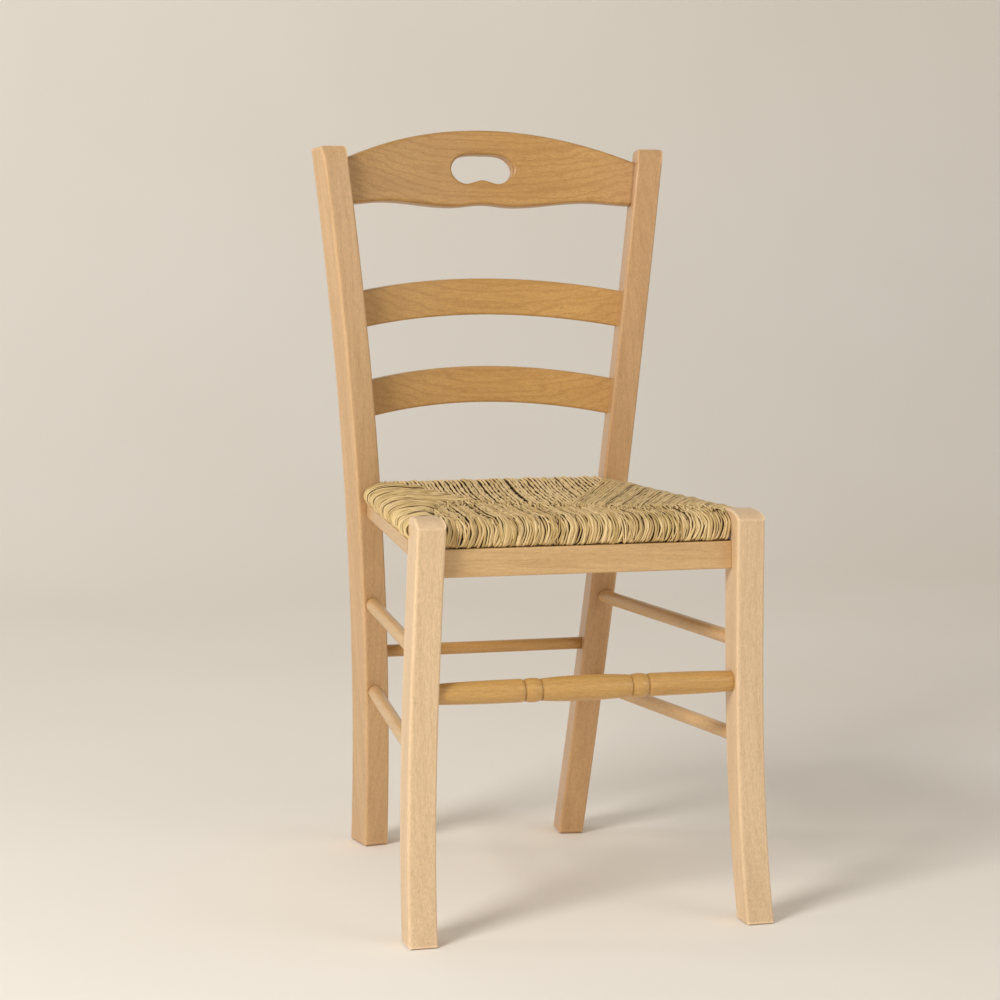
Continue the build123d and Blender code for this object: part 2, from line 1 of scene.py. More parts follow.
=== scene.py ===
"""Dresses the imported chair: beech on the CAD pieces, rush strands on the seat, a studio."""
import math
import random

import bpy
import numpy as np
from mathutils import Matrix, Vector


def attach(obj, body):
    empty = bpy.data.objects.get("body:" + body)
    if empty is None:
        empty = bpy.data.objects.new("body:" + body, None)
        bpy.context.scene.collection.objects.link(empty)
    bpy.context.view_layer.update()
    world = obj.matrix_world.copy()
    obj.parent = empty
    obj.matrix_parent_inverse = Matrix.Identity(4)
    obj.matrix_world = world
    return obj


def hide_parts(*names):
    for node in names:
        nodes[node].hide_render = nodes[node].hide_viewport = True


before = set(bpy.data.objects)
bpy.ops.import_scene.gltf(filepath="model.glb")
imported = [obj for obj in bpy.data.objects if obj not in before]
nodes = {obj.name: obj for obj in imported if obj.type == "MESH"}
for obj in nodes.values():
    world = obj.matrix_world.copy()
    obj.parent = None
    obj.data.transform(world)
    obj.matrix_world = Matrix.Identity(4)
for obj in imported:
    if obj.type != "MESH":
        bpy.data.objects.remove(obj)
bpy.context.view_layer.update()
MM = 0.001

# Camera, at the photograph's place, turn and lens
camera_place = (-0.976853, -3.100380, 0.825867)
camera_yaw = math.radians(16.8976)
camera_pitch = math.radians(6.5288)
camera_roll = math.radians(0.4936)
camera_lens = 100.8
camera_sensor = 36.0


def make_camera():
    forward = Vector((
        math.sin(camera_yaw) * math.cos(camera_pitch),
        math.cos(camera_yaw) * math.cos(camera_pitch),
        -math.sin(camera_pitch),
    ))
    level = Vector((math.cos(camera_yaw), -math.sin(camera_yaw), 0.0))
    upright = level.cross(forward)
    right = math.cos(camera_roll) * level + math.sin(camera_roll) * upright
    up = -math.sin(camera_roll) * level + math.cos(camera_roll) * upright
    data = bpy.data.cameras.new("camera")
    data.lens = camera_lens
    data.sensor_width = camera_sensor
    camera = bpy.data.objects.new("camera", data)
    bpy.context.scene.collection.objects.link(camera)
    turn = Matrix((right, up, -forward)).transposed().to_4x4()
    camera.matrix_world = Matrix.Translation(camera_place) @ turn
    bpy.context.scene.camera = camera


make_camera()


# Materials: small helpers for node trees
def linear(rgb):
    """An sRGB colour of 0 to 255 as linear RGBA."""
    def one(c):
        c = c / 255.0
        return c / 12.92 if c <= 0.04045 else ((c + 0.055) / 1.055) ** 2.4
    return tuple(one(c) for c in rgb) + (1.0,)


class Tree:
    """A material's node tree, with one line for each node."""

    def __init__(self, name):
        self.material = bpy.data.materials.new(name)
        self.material.use_nodes = True
        self.nodes = self.material.node_tree.nodes
        self.links = self.material.node_tree.links
        self.shader = self.nodes["Principled BSDF"]

    def add(self, kind, inputs=None, **settings):
        node = self.nodes.new(kind)
        for key, value in settings.items():
            setattr(node, key, value)
        for key, value in (inputs or {}).items():
            if isinstance(value, bpy.types.NodeSocket):
                self.links.new(value, node.inputs[key])
            else:
                node.inputs[key].default_value = value
        return node

    def math(self, operation, a, b):
        return self.add("ShaderNodeMath", {0: a, 1: b}, operation=operation).outputs[0]

    def mix(self, factor, a, b, blend="MIX"):
        node = self.add(
            "ShaderNodeMix", {0: factor, 6: a, 7: b}, data_type="RGBA", blend_type=blend
        )
        return node.outputs[2]

    def ramp(self, value, low, high, from_low=0.0, to_high=1.0):
        node = self.add(
            "ShaderNodeMapRange", {0: value, 1: low, 2: high, 3: from_low, 4: to_high}
        )
        return node.outputs[0]

    def noise(self, vector, scale, detail=2.0, rough=0.5, distortion=0.0):
        node = self.add(
            "ShaderNodeTexNoise",
            {"Vector": vector, "Scale": scale, "Detail": detail,
             "Roughness": rough, "Distortion": distortion},
        )
        return node.outputs[0]

    def bump(self, height, strength, distance):
        node = self.add(
            "ShaderNodeBump", {"Height": height, "Strength": strength, "Distance": distance}
        )
        self.links.new(node.outputs[0], self.shader.inputs["Normal"])

    def finish(self, colour, roughness):
        self.links.new(colour, self.shader.inputs["Base Color"])
        self.links.new(roughness, self.shader.inputs["Roughness"])
        return self.material


# Wood: how far the painted shade of joints and crevices and the painted light along edges reach, in metres,
# and its varnish
joint_shade_reach = 0.0035
joint_shade = 0.55
painted_edge_reach = 0.003
shade_samples = 6
wood_bump = (0.20, 0.00025)
wood_specular = 0.45
coat_weight = 0.50
coat_roughness = 0.26
first_wood_seed = 100


def wood(name, tone, axis, figure, edge, seed):
    """Beech with its grain along an axis: rings, fine fibres and short dark flecks, with painted shade in
    its joints and crevices and, where edge is set, painted light along its edges.

    figure is how strong its rings and lines are; edge above zero is how strong a painted highlight along
    its edges is, below zero how strong a painted shade there is.
    """
    tree = Tree(name)
    place = tree.add("ShaderNodeTexCoord").outputs["Object"]
    pick = random.Random(seed)
    shift = tuple(pick.uniform(-5.0, 5.0) for _ in range(3))

    def stretched(along):
        """Places in the piece, squeezed along the grain so that a pattern there runs with it."""
        scale = [1.0, 1.0, 1.0]
        scale["XYZ".index(axis)] = along
        node = tree.add("ShaderNodeMapping", {"Vector": place, "Location": shift, "Scale": scale})
        return node.outputs[0]

    def tinted(*shares):
        return tuple(base * np.array(shares)) + (1.0,)

    base = np.array(linear(tone)[:3])
    broad = tree.noise(stretched(0.05), scale=45.0, detail=2.0, rough=0.5, distortion=0.3)
    rings = tree.add("ShaderNodeTexWave", {
        "Vector": stretched(0.055), "Scale": 55.0, "Distortion": 7.0,
        "Detail": 2.0, "Detail Scale": 1.3,
    }, wave_type="BANDS", bands_direction="DIAGONAL").outputs[1]
    lines = tree.noise(stretched(0.03), scale=520.0, detail=3.0, rough=0.65, distortion=0.4)
    fibre = tree.noise(stretched(0.06), scale=1300.0, detail=2.0, rough=0.6)
    fleck = tree.noise(stretched(0.16), scale=900.0, detail=1.0, rough=0.4)
    mottle = tree.noise(stretched(0.55), scale=620.0, detail=2.0, rough=0.6)
    colour = tree.mix(tree.ramp(broad, 0.30, 0.70), tinted(0.93, 0.91, 0.88), tinted(1.05, 1.06, 1.08))
    ring = tree.ramp(rings, 0.62, 0.95, 0.0, figure)
    colour = tree.mix(ring, colour, tinted(0.74, 0.65, 0.53))
    grain = tree.ramp(lines, 0.50, 0.72, 0.0, figure)
    colour = tree.mix(grain, colour, tinted(0.62, 0.52, 0.40))
    streak = tree.math(
        "MULTIPLY", tree.ramp(fibre, 0.30, 0.70, 0.90, 1.09), tree.ramp(mottle, 0.3, 0.7, 0.93, 1.06)
    )
    grey = tree.add("ShaderNodeCombineColor", {0: streak, 1: streak, 2: streak}).outputs[0]
    colour = tree.mix(1.0, colour, grey, "MULTIPLY")
    spot = tree.ramp(fleck, 0.62, 0.72, 0.0, 0.24)
    colour = tree.mix(spot, colour, tinted(0.52, 0.42, 0.31))
    # Painted light along convex edges: above zero a pale painted highlight, below zero a dark painted shade
    if edge:
        painted_edge_mask = tree.add(
            "ShaderNodeAmbientOcclusion", {"Distance": painted_edge_reach},
            samples=shade_samples, inside=True, only_local=True,
        ).outputs["AO"]
        painted_edge_tone = tinted(1.42, 1.47, 1.60) if edge > 0.0 else tinted(0.45, 0.36, 0.28)
        colour = tree.mix(tree.ramp(painted_edge_mask, 0.95, 0.76, 0.0, abs(edge)), colour, painted_edge_tone)
    # Painted shade: the colour darkens wherever another surface lies close, in joints, crevices and round
    # the hand hole
    close = tree.add(
        "ShaderNodeAmbientOcclusion", {"Distance": joint_shade_reach}, samples=shade_samples
    ).outputs["AO"]
    colour = tree.mix(tree.ramp(close, 0.25, 0.80, joint_shade, 0.0), colour, tinted(0.30, 0.22, 0.14))
    tree.bump(tree.math("ADD", fibre, spot), *wood_bump)
    tree.shader.inputs["Specular IOR Level"].default_value = wood_specular
    tree.shader.inputs["Coat Weight"].default_value = coat_weight
    tree.shader.inputs["Coat Roughness"].default_value = coat_roughness
    return tree.finish(colour, tree.ramp(fibre, 0.3, 0.7, 0.42, 0.56))


front_tone = (224, 192, 151)
post_left_tone = (206, 167, 120)
post_right_tone = (196, 154, 106)
apron_tone = (210, 171, 118)
round_tone = (204, 159, 90)
side_tone = (216, 177, 124)
back_tone = (193, 147, 84)
slat_tone = (201, 154, 86)
rail_tone = (112, 80, 44)

# Each wooden node's tone, grain axis, figure and edge: a painted highlight along its edges above zero,
# painted shade there below zero
wood_of = {
    "front_leg_left": (front_tone, "Z", 0.14, 0.75),
    "front_leg_right": (front_tone, "Z", 0.14, 0.75),
    "rear_leg_left": (post_left_tone, "Z", 0.18, 0.75),
    "rear_leg_right": (post_right_tone, "Z", 0.18, 0.75),
    "crest_rail": (back_tone, "X", 0.42, -0.45),
    "upper_slat": (slat_tone, "X", 0.36, -0.35),
    "lower_slat": (slat_tone, "X", 0.36, -0.35),
    "front_apron": (apron_tone, "X", 0.20, 0.0),
    "rear_apron": (apron_tone, "X", 0.20, 0.0),
    "left_apron": (apron_tone, "Y", 0.20, 0.0),
    "right_apron": (apron_tone, "Y", 0.20, 0.0),
    "front_stretcher": (round_tone, "X", 0.24, 0.0),
    "rear_stretcher": (back_tone, "X", 0.20, 0.0),
    "left_upper_stretcher": (side_tone, "Y", 0.20, 0.0),
    "left_lower_stretcher": (side_tone, "Y", 0.20, 0.0),
    "right_upper_stretcher": (side_tone, "Y", 0.20, 0.0),
    "right_lower_stretcher": (side_tone, "Y", 0.20, 0.0),
    "seat_front_rail": (rail_tone, "X", 0.20, 0.0),
    "seat_rear_rail": (rail_tone, "X", 0.20, 0.0),
    "seat_left_rail": (rail_tone, "Y", 0.20, 0.0),
    "seat_right_rail": (rail_tone, "Y", 0.20, 0.0),
    "tenon_pins": (round_tone, "Y", 0.30, 0.0),
}
for number, (node, (tone, axis, figure, edge)) in enumerate(sorted(wood_of.items())):
    slots = nodes[node].data.materials
    slots.clear()
    slots.append(wood("beech_" + node, tone, axis, figure, edge, first_wood_seed + number))


# Rush: its darkest and lightest straw and green, the tones that cross them, and how fast they change
# along a strand, round it and from strand to strand
straw_tones = ((192, 157, 99), (236, 206, 150))
green_tones = ((176, 148, 86), (214, 187, 124))
brown_tone = (138, 98, 48)
bright_tone = (246, 224, 178)
# Painted shade on the sides and underside of each strand, for the gaps between strands
groove_tone = (84, 56, 24)
# Painted shade: the near-black brown that covers the inner layer, and how much of it
inner_shade_tone = (56, 36, 15)
inner_shade_share = 0.88
patch_rate = 22.0
leaf_rate = 20.0
leaf_round_rate = 6.0
strand_rate = 90.0
rush_bump = (0.35, 0.0006)
rush_specular = 0.35


def rush_material(name, dark):
    """Straw and green-gold rush leaf, with painted shade on its sides and, for the inner layer, painted
    shade all over. The strands carry how far along and round a point is, and how far round from its outer
    side it lies, which sets its painted shade.
    """
    tree = Tree(name)

    def mark(label):
        return tree.add("ShaderNodeAttribute", attribute_name=label).outputs["Fac"]

    along, around, tint, groove = (mark(n) for n in ("along", "around", "tint", "groove"))
    slow = tree.add("ShaderNodeCombineXYZ", {
        0: tree.math("MULTIPLY", along, patch_rate),
        1: tree.math("MULTIPLY", tint, strand_rate),
        2: around,
    }).outputs[0]
    fine = tree.add("ShaderNodeCombineXYZ", {
        0: tree.math("MULTIPLY", along, leaf_rate),
        1: tree.math("MULTIPLY", around, leaf_round_rate),
        2: tree.math("MULTIPLY", tint, strand_rate),
    }).outputs[0]
    patch = tree.noise(slow, scale=1.0, detail=2.0)
    leaf = tree.noise(fine, scale=1.0, detail=1.5)
    straw = tree.mix(tint, *map(linear, straw_tones))
    green = tree.mix(tint, *map(linear, green_tones))
    colour = tree.mix(tree.ramp(patch, 0.46, 0.70), straw, green)
    colour = tree.mix(tree.ramp(leaf, 0.54, 0.78, 0.0, 0.45), colour, linear(brown_tone))
    colour = tree.mix(tree.ramp(leaf, 0.42, 0.25, 0.0, 0.50), colour, linear(bright_tone))
    # Painted shade: each strand's inner side darkens, as the shade in the gaps between strands
    colour = tree.mix(tree.ramp(groove, 0.16, 0.50, 0.0, 0.94), colour, linear(groove_tone))
    # For the inner layer: painted shade, almost the whole colour turned a near-black brown
    if dark:
        colour = tree.mix(inner_shade_share, colour, linear(inner_shade_tone))
    tree.bump(leaf, *rush_bump)
    tree.shader.inputs["Specular IOR Level"].default_value = rush_specular
    return tree.finish(colour, tree.ramp(leaf, 0.3, 0.7, 0.42, 0.62))


rush_skin = rush_material("rush_strand", False)
# The inner layer's rush, painted a near-black brown as shade under the strands
rush_painted_shade = rush_material("rush_inner", True)

# Seat, in millimetres in the CAD frame
seat_middle_top = 456.5
seat_middle_bottom = 431.5
dish_length = 110.0
dish_power = 1.8
corner_leg = (167.1, -200.0)
corner_post = (143.4, 143.2)
front_nose_y = -220.2
rear_nose_y = 178.6
side_nose = ((203.0, -199.8), (163.6, 143.0))

# A roll's underside, top, the height of its widest place, how far in its top lies and its lower rounding's
# width and height
front_roll = {"low": 429.4, "top": 460.0, "nose": 445.5, "wide": 30.0, "under": (6.0, 5.0)}
side_roll = {"low": 439.2, "top": 463.0, "nose": 450.0, "wide": 33.0, "under": (10.0, 8.0)}
rear_roll = {"low": 439.5, "top": 463.0, "nose": 451.0, "wide": 25.0, "under": (9.0, 8.0)}

# Where the four panels meet, as the photograph shows: each side panel runs in to a point, and between the
# two points the front and the rear panel meet each other
left_point = (-62.0, -14.0)
between_points = (-16.0, -46.0)
right_point = (26.0, -64.0)
under_middle = (0.0, -16.0)
edge_rear_left = ((-corner_post[0], corner_post[1]), (-112, 140), (-100, 92), (-76, 34), left_point)
edge_front_left = ((-corner_leg[0], corner_leg[1]), (-150, -125), (-118, -62), (-88, -28), left_point)
seam_rear_left = (
    (-corner_post[0], 132), (-112, 128), (-97, 84), (-72, 28), left_point, between_points, right_point,
)
seam_front_left = edge_front_left + (between_points, right_point)
seam_rear_right = ((146, 134), (124, 84), (84, 25), (50, -25), right_point)
seam_front_right = (corner_leg, (146, -152), (100, -120), (60, -90), right_point)

# Shares of the panel's thickness that its strands take
strand_sizes = (0.62, 1.18)

# nose: a panel's outer line, with the seat on its left; roll: its edge's section
# seams, over: where its strands end, and whether they end over or under the other panel there
# lean, straight, fan: how they slant, how far in they do not, and whether they spread along the first seam
# pitch, radius: their spacing, and their thickness on the roll and on top
# sway, tilt, lift: how far one strand wanders, and how far neighbours tilt and rise together
# strays: how many stray strands lie across them; tints, sizes: between which each strand's are drawn
# slip: how far the strands slant under the roll; beyond: how far they go on past each end of the nose
# fill: places of strands that lie deeper and close a roll's open end
panels = {
    "front": {
        "nose": ((-167.0, front_nose_y), (167.0, front_nose_y)), "roll": front_roll,
        "seams": (seam_front_left, seam_front_right), "over": (True, True),
        "lean": 0.12, "straight": 16.0, "fan": False, "pitch": 3.0, "radius": (1.65, 1.55),
        "sway": 1.0, "tilt": 1.1, "lift": 0.6, "strays": 30, "tints": (0.1, 1.0), "sizes": strand_sizes,
        "slip": 5.0, "beyond": (0.0, 0.0), "fill": (),
    },
    "right": {
        "nose": side_nose, "roll": side_roll,
        "seams": (seam_front_right, seam_rear_right), "over": (False, True),
        "lean": 0.0, "straight": 12.0, "fan": True, "pitch": 3.8, "radius": (2.1, 1.5),
        "sway": 0.8, "tilt": 0.7, "lift": 0.4, "strays": 10, "tints": (0.45, 1.0), "sizes": strand_sizes,
        "slip": 5.0, "beyond": (0.008, 0.0), "fill": (-0.004, 0.002, 0.008),
    },
    "rear": {
        "nose": ((143.6, rear_nose_y), (-143.6, rear_nose_y)), "roll": rear_roll,
        "seams": (seam_rear_right, seam_rear_left), "over": (False, False),
        "lean": 0.16, "straight": 36.0, "fan": False, "pitch": 5.0, "radius": (2.15, 2.0),
        "sway": 0.5, "tilt": 0.8, "lift": 0.35, "strays": 6, "tints": (0.65, 1.0), "sizes": (0.80, 1.08),
        "slip": 5.0, "beyond": (0.0, 0.0), "fill": (),
    },
    "left": {
        "nose": ((-side_nose[1][0], side_nose[1][1]), (-side_nose[0][0], side_nose[0][1])),
        "roll": side_roll,
        "seams": (edge_rear_left, edge_front_left), "over": (True, False),
        "lean": 0.0, "straight": 12.0, "fan": False, "pitch": 4.1, "radius": (1.9, 1.7),
        "sway": 0.9, "tilt": 1.2, "lift": 1.3, "strays": 14, "tints": (0.3, 1.0), "sizes": strand_sizes,
        "slip": -5.0, "beyond": (0.0, 0.008), "fill": (0.992, 0.998, 1.004),
    },
}

# Steps along a strand: on top, below, round a quarter of the roll and up its side
top_step = 4.0
under_step = 9.0
round_steps = 8
side_steps = 3

# How a strand runs: where a fan's last strands turn, where the lean fades out, how softly it bends, the
# least runs that stand in where no seam is met, and how far it goes on past its seam
late_turn = 14.0
lean_end = 0.09
bend_softness = 40.0
least_reach = 3.0
least_below = 4.0
least_depth = 6.0
last_gap = 2.0
slip_power = 1.4
past_over = (1.5, 4.0)
past_under = (3.0, 6.0)

# How a strand dives at its seam: over the other panel it first rises a little, under it it tucks in early
seam_dive = 5.5
below_dive_length = 9.0
over_rise = 0.8
over_rise_place = 6.0
over_rise_length = 9.0
over_dive_length = 5.0
over_dive_power = 1.6
tuck_dive = 4.4
tuck_length = 13.0

# A strand's own irregularities: waves across its line, swelling, depth and place
any_phase = (0.0, 6.3)
wander_size = 0.6
wander_rates = ((0.02, 0.05), (0.06, 0.12), (0.14, 0.27))
swell = 0.2
swell_rates = (0.08, 0.2)
depth_scatter = (-0.7, 0.6)
place_scatter = (-0.14, 0.14)

# What neighbours share, and the strays and the filling, with the weaker painted shade on the sides of the
# end strands
shared_waves = 4
tilt_rates = (0.08, 0.24)
lift_rates = (0.14, 0.35)
stray_span = (0.05, 0.95)
stray_skew = 9.0
stray_proud = 0.9
stray_sizes = (0.42, 0.66)
open_end_painted_shade = 0.3
fill_sunk = 3.0

# Loops along the front seams: the seam, the share of it where they begin and their number, then how each
# lies, with its heights as a rise in the middle and a dive at both ends
loop_rows = ((seam_front_left, 0.42, 70), (seam_front_right, 0.10, 60))
loop_place = (0.1, 0.9)
loop_aside = (-2.0, 2.0)
loop_back = (-30.0, 5.0)
loop_angle = 80.0
loop_turn = (-15.0, 15.0)
loop_half = (7.0, 12.0)
loop_points = 9
loop_sunk = 0.6
loop_rise = 1.2
loop_dive = 3.2
loop_dive_power = 5
loop_radius = (1.1, 1.6)

# Turns of rush behind a front leg's top, from the side roll to the front roll: the first one's line for the
# right leg, and a place inside the weave that they turn round
corner_turns = 3
turn_pitch = 3.0
turn_radius = 1.5
corner_turn = (
    (196.0, -148.0, 447.0), (192.5, -148.0, 454.5), (182.0, -151.0, 460.6), (168.0, -154.0, 462.8),
    (159.0, -163.0, 461.8), (152.0, -171.0, 458.6), (148.0, -177.0, 453.0),
)
turn_middle = (175.0, -185.0, 440.0)
turn_points = 24
turn_smoothing = 3
turn_along = (-0.5, 0.5)
turn_up = (-0.4, 0.3)


def rail_inward(panel):
    """Start, end, unit direction along and unit inward of a panel's outer line."""
    start, end = (np.array(p, float) for p in panel["nose"])
    along = (end - start) / np.linalg.norm(end - start)
    inward = np.array((-along[1], along[0]))
    return start, end, along, inward


def smooth(t):
    t = min(max(t, 0.0), 1.0)
    return t * t * (3.0 - 2.0 * t)


def dish(distance):
    return (1.0 - min(max(distance, 0.0) / dish_length, 1.0)) ** dish_power


def seat_top(point):
    """Height of the seat over a plan point, without its round edges: high at the rails, dished between."""
    rise = 0.0
    for panel in panels.values():
        start, _, _, inward = rail_inward(panel)
        roll = panel["roll"]
        distance = float(np.dot(point - start, inward)) - roll["wide"]
        rise = max(rise, (roll["top"] - seat_middle_top) * dish(distance))
    return seat_middle_top + rise


def hit(origin, direction, line):
    """How far along a ray it crosses a broken line, or None."""
    nearest = None
    for a, b in zip(line[:-1], line[1:]):
        a, b = np.array(a, float), np.array(b, float)
        edge = b - a
        det = direction[0] * -edge[1] + direction[1] * edge[0]
        if abs(det) < 1e-9:
            continue
        gap = a - origin
        t = (gap[0] * -edge[1] + gap[1] * edge[0]) / det
        u = (direction[0] * gap[1] - direction[1] * gap[0]) / det
        if t > 0 and -0.001 <= u <= 1.001 and (nearest is None or t < nearest):
            nearest = t
    return nearest


def on_line(line, share):
    """The point at a share of a broken line's length."""
    points = np.array(line, float)
    steps = np.linalg.norm(np.diff(points, axis=0), axis=1)
    reach = np.concatenate(([0.0], np.cumsum(steps)))
    place = share * reach[-1]
    return np.array([np.interp(place, reach, points[:, k]) for k in (0, 1)])


def strand_end(panel, share, origin):
    """Where a strand's upper run meets a seam, and whether it ends over the other panel there."""
    _, _, along, inward = rail_inward(panel)
    if panel["fan"]:
        return on_line(panel["seams"][0], share), panel["over"][0]
    direction = inward + along * panel["lean"] * min(1.0, (1.0 - share) / lean_end)
    direction = direction / np.linalg.norm(direction)
    found = [
        (hit(origin, direction, seam), over) for seam, over in zip(panel["seams"], panel["over"])
    ]
    found = [pair for pair in found if pair[0] is not None] or [(least_reach, panel["over"][0])]
    reach, over = min(found)
    return origin + direction * reach, over


def strand_path(panel, share, sunk, pick, skew=0.0):
    """One strand from the seam under the seat, round its rail and over the top to its seam.

    Gives its points, the way out of the weave at each, and the strand's thickness there.
    sunk is how far the line lies under the weave's outside; pick draws its small irregularities;
    skew is how far a stray strand slants along the rail, below and above its place.
    """
    start, end, along, inward = rail_inward(panel)
    roll = panel["roll"]
    base = start + (end - start) * share
    thick_roll, thick_top = panel["radius"]
    wave = [
        (pick.uniform(-1, 1) * wander_size, pick.uniform(*rates), pick.uniform(*any_phase))
        for rates in wander_rates
    ]
    swell_rate, swell_phase = pick.uniform(*swell_rates), pick.uniform(*any_phase)
    sunk = sunk - pick.uniform(*depth_scatter)
    points, outs, thick = [], [], []

    def wander(reach):
        sway = sum(size * math.sin(rate * reach + phase) for size, rate, phase in wave)
        return sway * panel["sway"]

    def put(plan, z, out, radius, reach):
        points.append(np.array((plan[0], plan[1], z)) - np.array(out) * sunk)
        outs.append(out)
        thick.append(radius * (1.0 + swell * math.sin(swell_rate * reach + swell_phase)))

    def slip(z):
        """How far the strand still lies along the rail from its place, low on the roll."""
        up = (z - roll["low"]) / (roll["nose"] - roll["low"])
        return (panel["slip"] + skew) * max(0.0, 1.0 - up) ** slip_power

    def tilted(angle):
        """Straight out of the roll at an angle of 0, up at a right angle, down at minus a right angle."""
        side = -inward * math.cos(angle)
        return (side[0], side[1], math.sin(angle))

    low_wide, low_high = roll["under"]
    rail = base + inward * low_wide
    below = [hit(rail, inward, (seam[0], under_middle)) for seam in panel["seams"]]
    below = min([t for t in below if t is not None] or [least_below])
    count = max(2, int(below / under_step))
    for k in range(count):
        d = below * (1.0 - k / count)
        z = seat_middle_bottom + (roll["low"] - seat_middle_bottom) * dish(d)
        z += seam_dive * smooth(1.0 - (below - d) / below_dive_length)
        side = wander(-d) - panel["slip"] - skew
        put(rail + inward * d + along * side, z, (0.0, 0.0, -1.0), thick_roll, -d)
    for k in range(round_steps):
        angle = math.pi / 2 * (k / round_steps - 1.0)
        d = low_wide * (1.0 - math.cos(angle))
        z = roll["low"] + low_high * (1.0 + math.sin(angle))
        reach = low_wide - d + z - roll["low"]
        put(base + inward * d + along * (wander(reach) - slip(z)), z, tilted(angle), thick_roll, reach)
    for k in range(side_steps):
        z = roll["low"] + low_high + (roll["nose"] - roll["low"] - low_high) * k / side_steps
        reach = low_wide + z - roll["low"]
        put(base + along * (wander(reach) - slip(z)), z, tilted(0.0), thick_roll, reach)

    straight = panel["straight"] + (late_turn * share ** 4 if panel["fan"] else 0.0)
    target, over = strand_end(panel, share, base + inward * straight)
    deep = float(np.dot(target - base, inward))
    lean = float(np.dot(target - base, along)) / max(deep - straight, 1.0)
    total = max(deep, least_depth) + pick.uniform(*(past_over if over else past_under))
    angles = [math.pi / 2 * k / round_steps for k in range(round_steps + 1)]
    spots = [roll["wide"] * (1.0 - math.cos(angle)) for angle in angles]
    spots = [d for d in spots if d < total - last_gap]
    count = max(2, int((total - spots[-1]) / top_step))
    spots += [spots[-1] + (total - spots[-1]) * k / count for k in range(1, count + 1)]
    for d in spots:
        bent = d - straight
        side = lean * (0.5 * (bent + math.sqrt(bent * bent + bend_softness))) if deep > straight else 0.0
        side += skew * min(d / roll["wide"], 1.0)
        fall = 1.0 - min(d / roll["wide"], 1.0)
        drop = (roll["top"] - roll["nose"]) * (1.0 - math.sqrt(1.0 - fall * fall))
        reach = low_wide + roll["top"] - drop - roll["low"] + d
        plan = base + inward * d + along * (side + wander(reach))
        z = seat_top(plan) - drop
        if over:
            z += over_rise * smooth(1.0 - abs(d - (deep - over_rise_place)) / over_rise_length)
            z -= seam_dive * max(0.0, 1.0 - (total - d) / over_dive_length) ** over_dive_power
        else:
            z -= tuck_dive * smooth(1.0 - (deep - d) / tuck_length)
        blend = smooth(d / roll["wide"])
        put(plan, z, tilted(math.acos(fall)), thick_roll * (1.0 - blend) + thick_top * blend, reach)
    return np.array(points), np.array(outs), np.array(thick)


# A strand's cord: points round it, its twist in radians for each millimetre, how much its two leaves stand
# out, its narrower ends, and how far a strand's tint shifts its pattern
ring_count = 8
twist_rates = (0.07, 0.16)
leaf_lobe = 0.16
end_shrink = 0.45
tint_shift = 7.0
rush_random = random.Random(20)


def tube(path, store, sizes, tints=(0.0, 1.0), depth=1.0):
    """Adds one strand's mesh to the store: a slightly flat, slowly twisting two-leaf cord with closed ends.

    depth is how strongly its sides are painted dark, as painted shade in the gaps between strands.
    """
    points, outs, thick = path
    pick = rush_random
    tint = pick.uniform(*tints)
    size = pick.uniform(*sizes)
    twist = pick.uniform(*twist_rates) * pick.choice((-1, 1))
    phase = pick.uniform(*any_phase)
    ahead = np.gradient(points, axis=0)
    ahead /= np.linalg.norm(ahead, axis=1)[:, None]
    out = outs - ahead * np.sum(outs * ahead, axis=1)[:, None]
    out /= np.linalg.norm(out, axis=1)[:, None]
    aside = np.cross(ahead, out)
    steps = np.linalg.norm(np.diff(points, axis=0), axis=1)
    reach = np.concatenate(([0.0], np.cumsum(steps)))
    first = len(store["points"])
    angles = np.arange(ring_count) / ring_count * 2 * math.pi
    last = len(points) - 1
    for k in range(len(points)):
        shrink = end_shrink if k in (0, last) else 1.0
        lobe = 1.0 + leaf_lobe * np.cos(2.0 * (angles - phase - twist * reach[k]))
        radius = thick[k] * size * shrink * lobe
        ring = (points[k] + np.outer(radius * np.cos(angles), out[k])
                + np.outer(radius * np.sin(angles), aside[k]))
        store["points"].extend(map(tuple, ring * MM))
        for angle in angles:
            store["along"].append(reach[k] * MM + tint * tint_shift)
            turn = (angle + math.pi) % (2 * math.pi) - math.pi
            store["around"].append(turn / (2 * math.pi) + twist * reach[k] / (2 * math.pi))
            store["tint"].append(tint)
            # Painted shade: darker round towards the cord's inner side, as the shade in the gaps between
            # strands
            store["groove"].append(depth * (0.5 - 0.5 * math.cos(angle)))
    for k in range(last):
        low = first + k * ring_count
        for j in range(ring_count):
            nxt = (j + 1) % ring_count
            store["faces"].append((low + j, low + nxt, low + nxt + ring_count, low + j + ring_count))
    store["faces"].append(tuple(first + j for j in reversed(range(ring_count))))
    store["faces"].append(tuple(first + last * ring_count + j for j in range(ring_count)))


def mesh_piece(name, store, material):
    mesh = bpy.data.meshes.new(name)
    mesh.from_pydata(store["points"], [], store["faces"])
    for label in ("along", "around", "tint", "groove"):
        layer = mesh.attributes.new(label, "FLOAT", "POINT")
        layer.data.foreach_set("value", store[label])
    mesh.polygons.foreach_set("use_smooth", [True] * len(mesh.polygons))
    mesh.materials.append(material)
    mesh.update()
    piece = bpy.data.objects.new(name, mesh)
    bpy.context.scene.collection.objects.link(piece)
    return piece


def new_store():
    return {key: [] for key in ("points", "faces", "along", "around", "tint", "groove")}


def shared_wave(rates):
    """A slow random wave along a rail, which neighbouring strands share."""
    parts = [(rush_random.uniform(*rates), rush_random.uniform(*any_phase)) for _ in range(shared_waves)]
    return lambda place: sum(math.sin(rate * place + phase) for rate, phase in parts) / 2.0


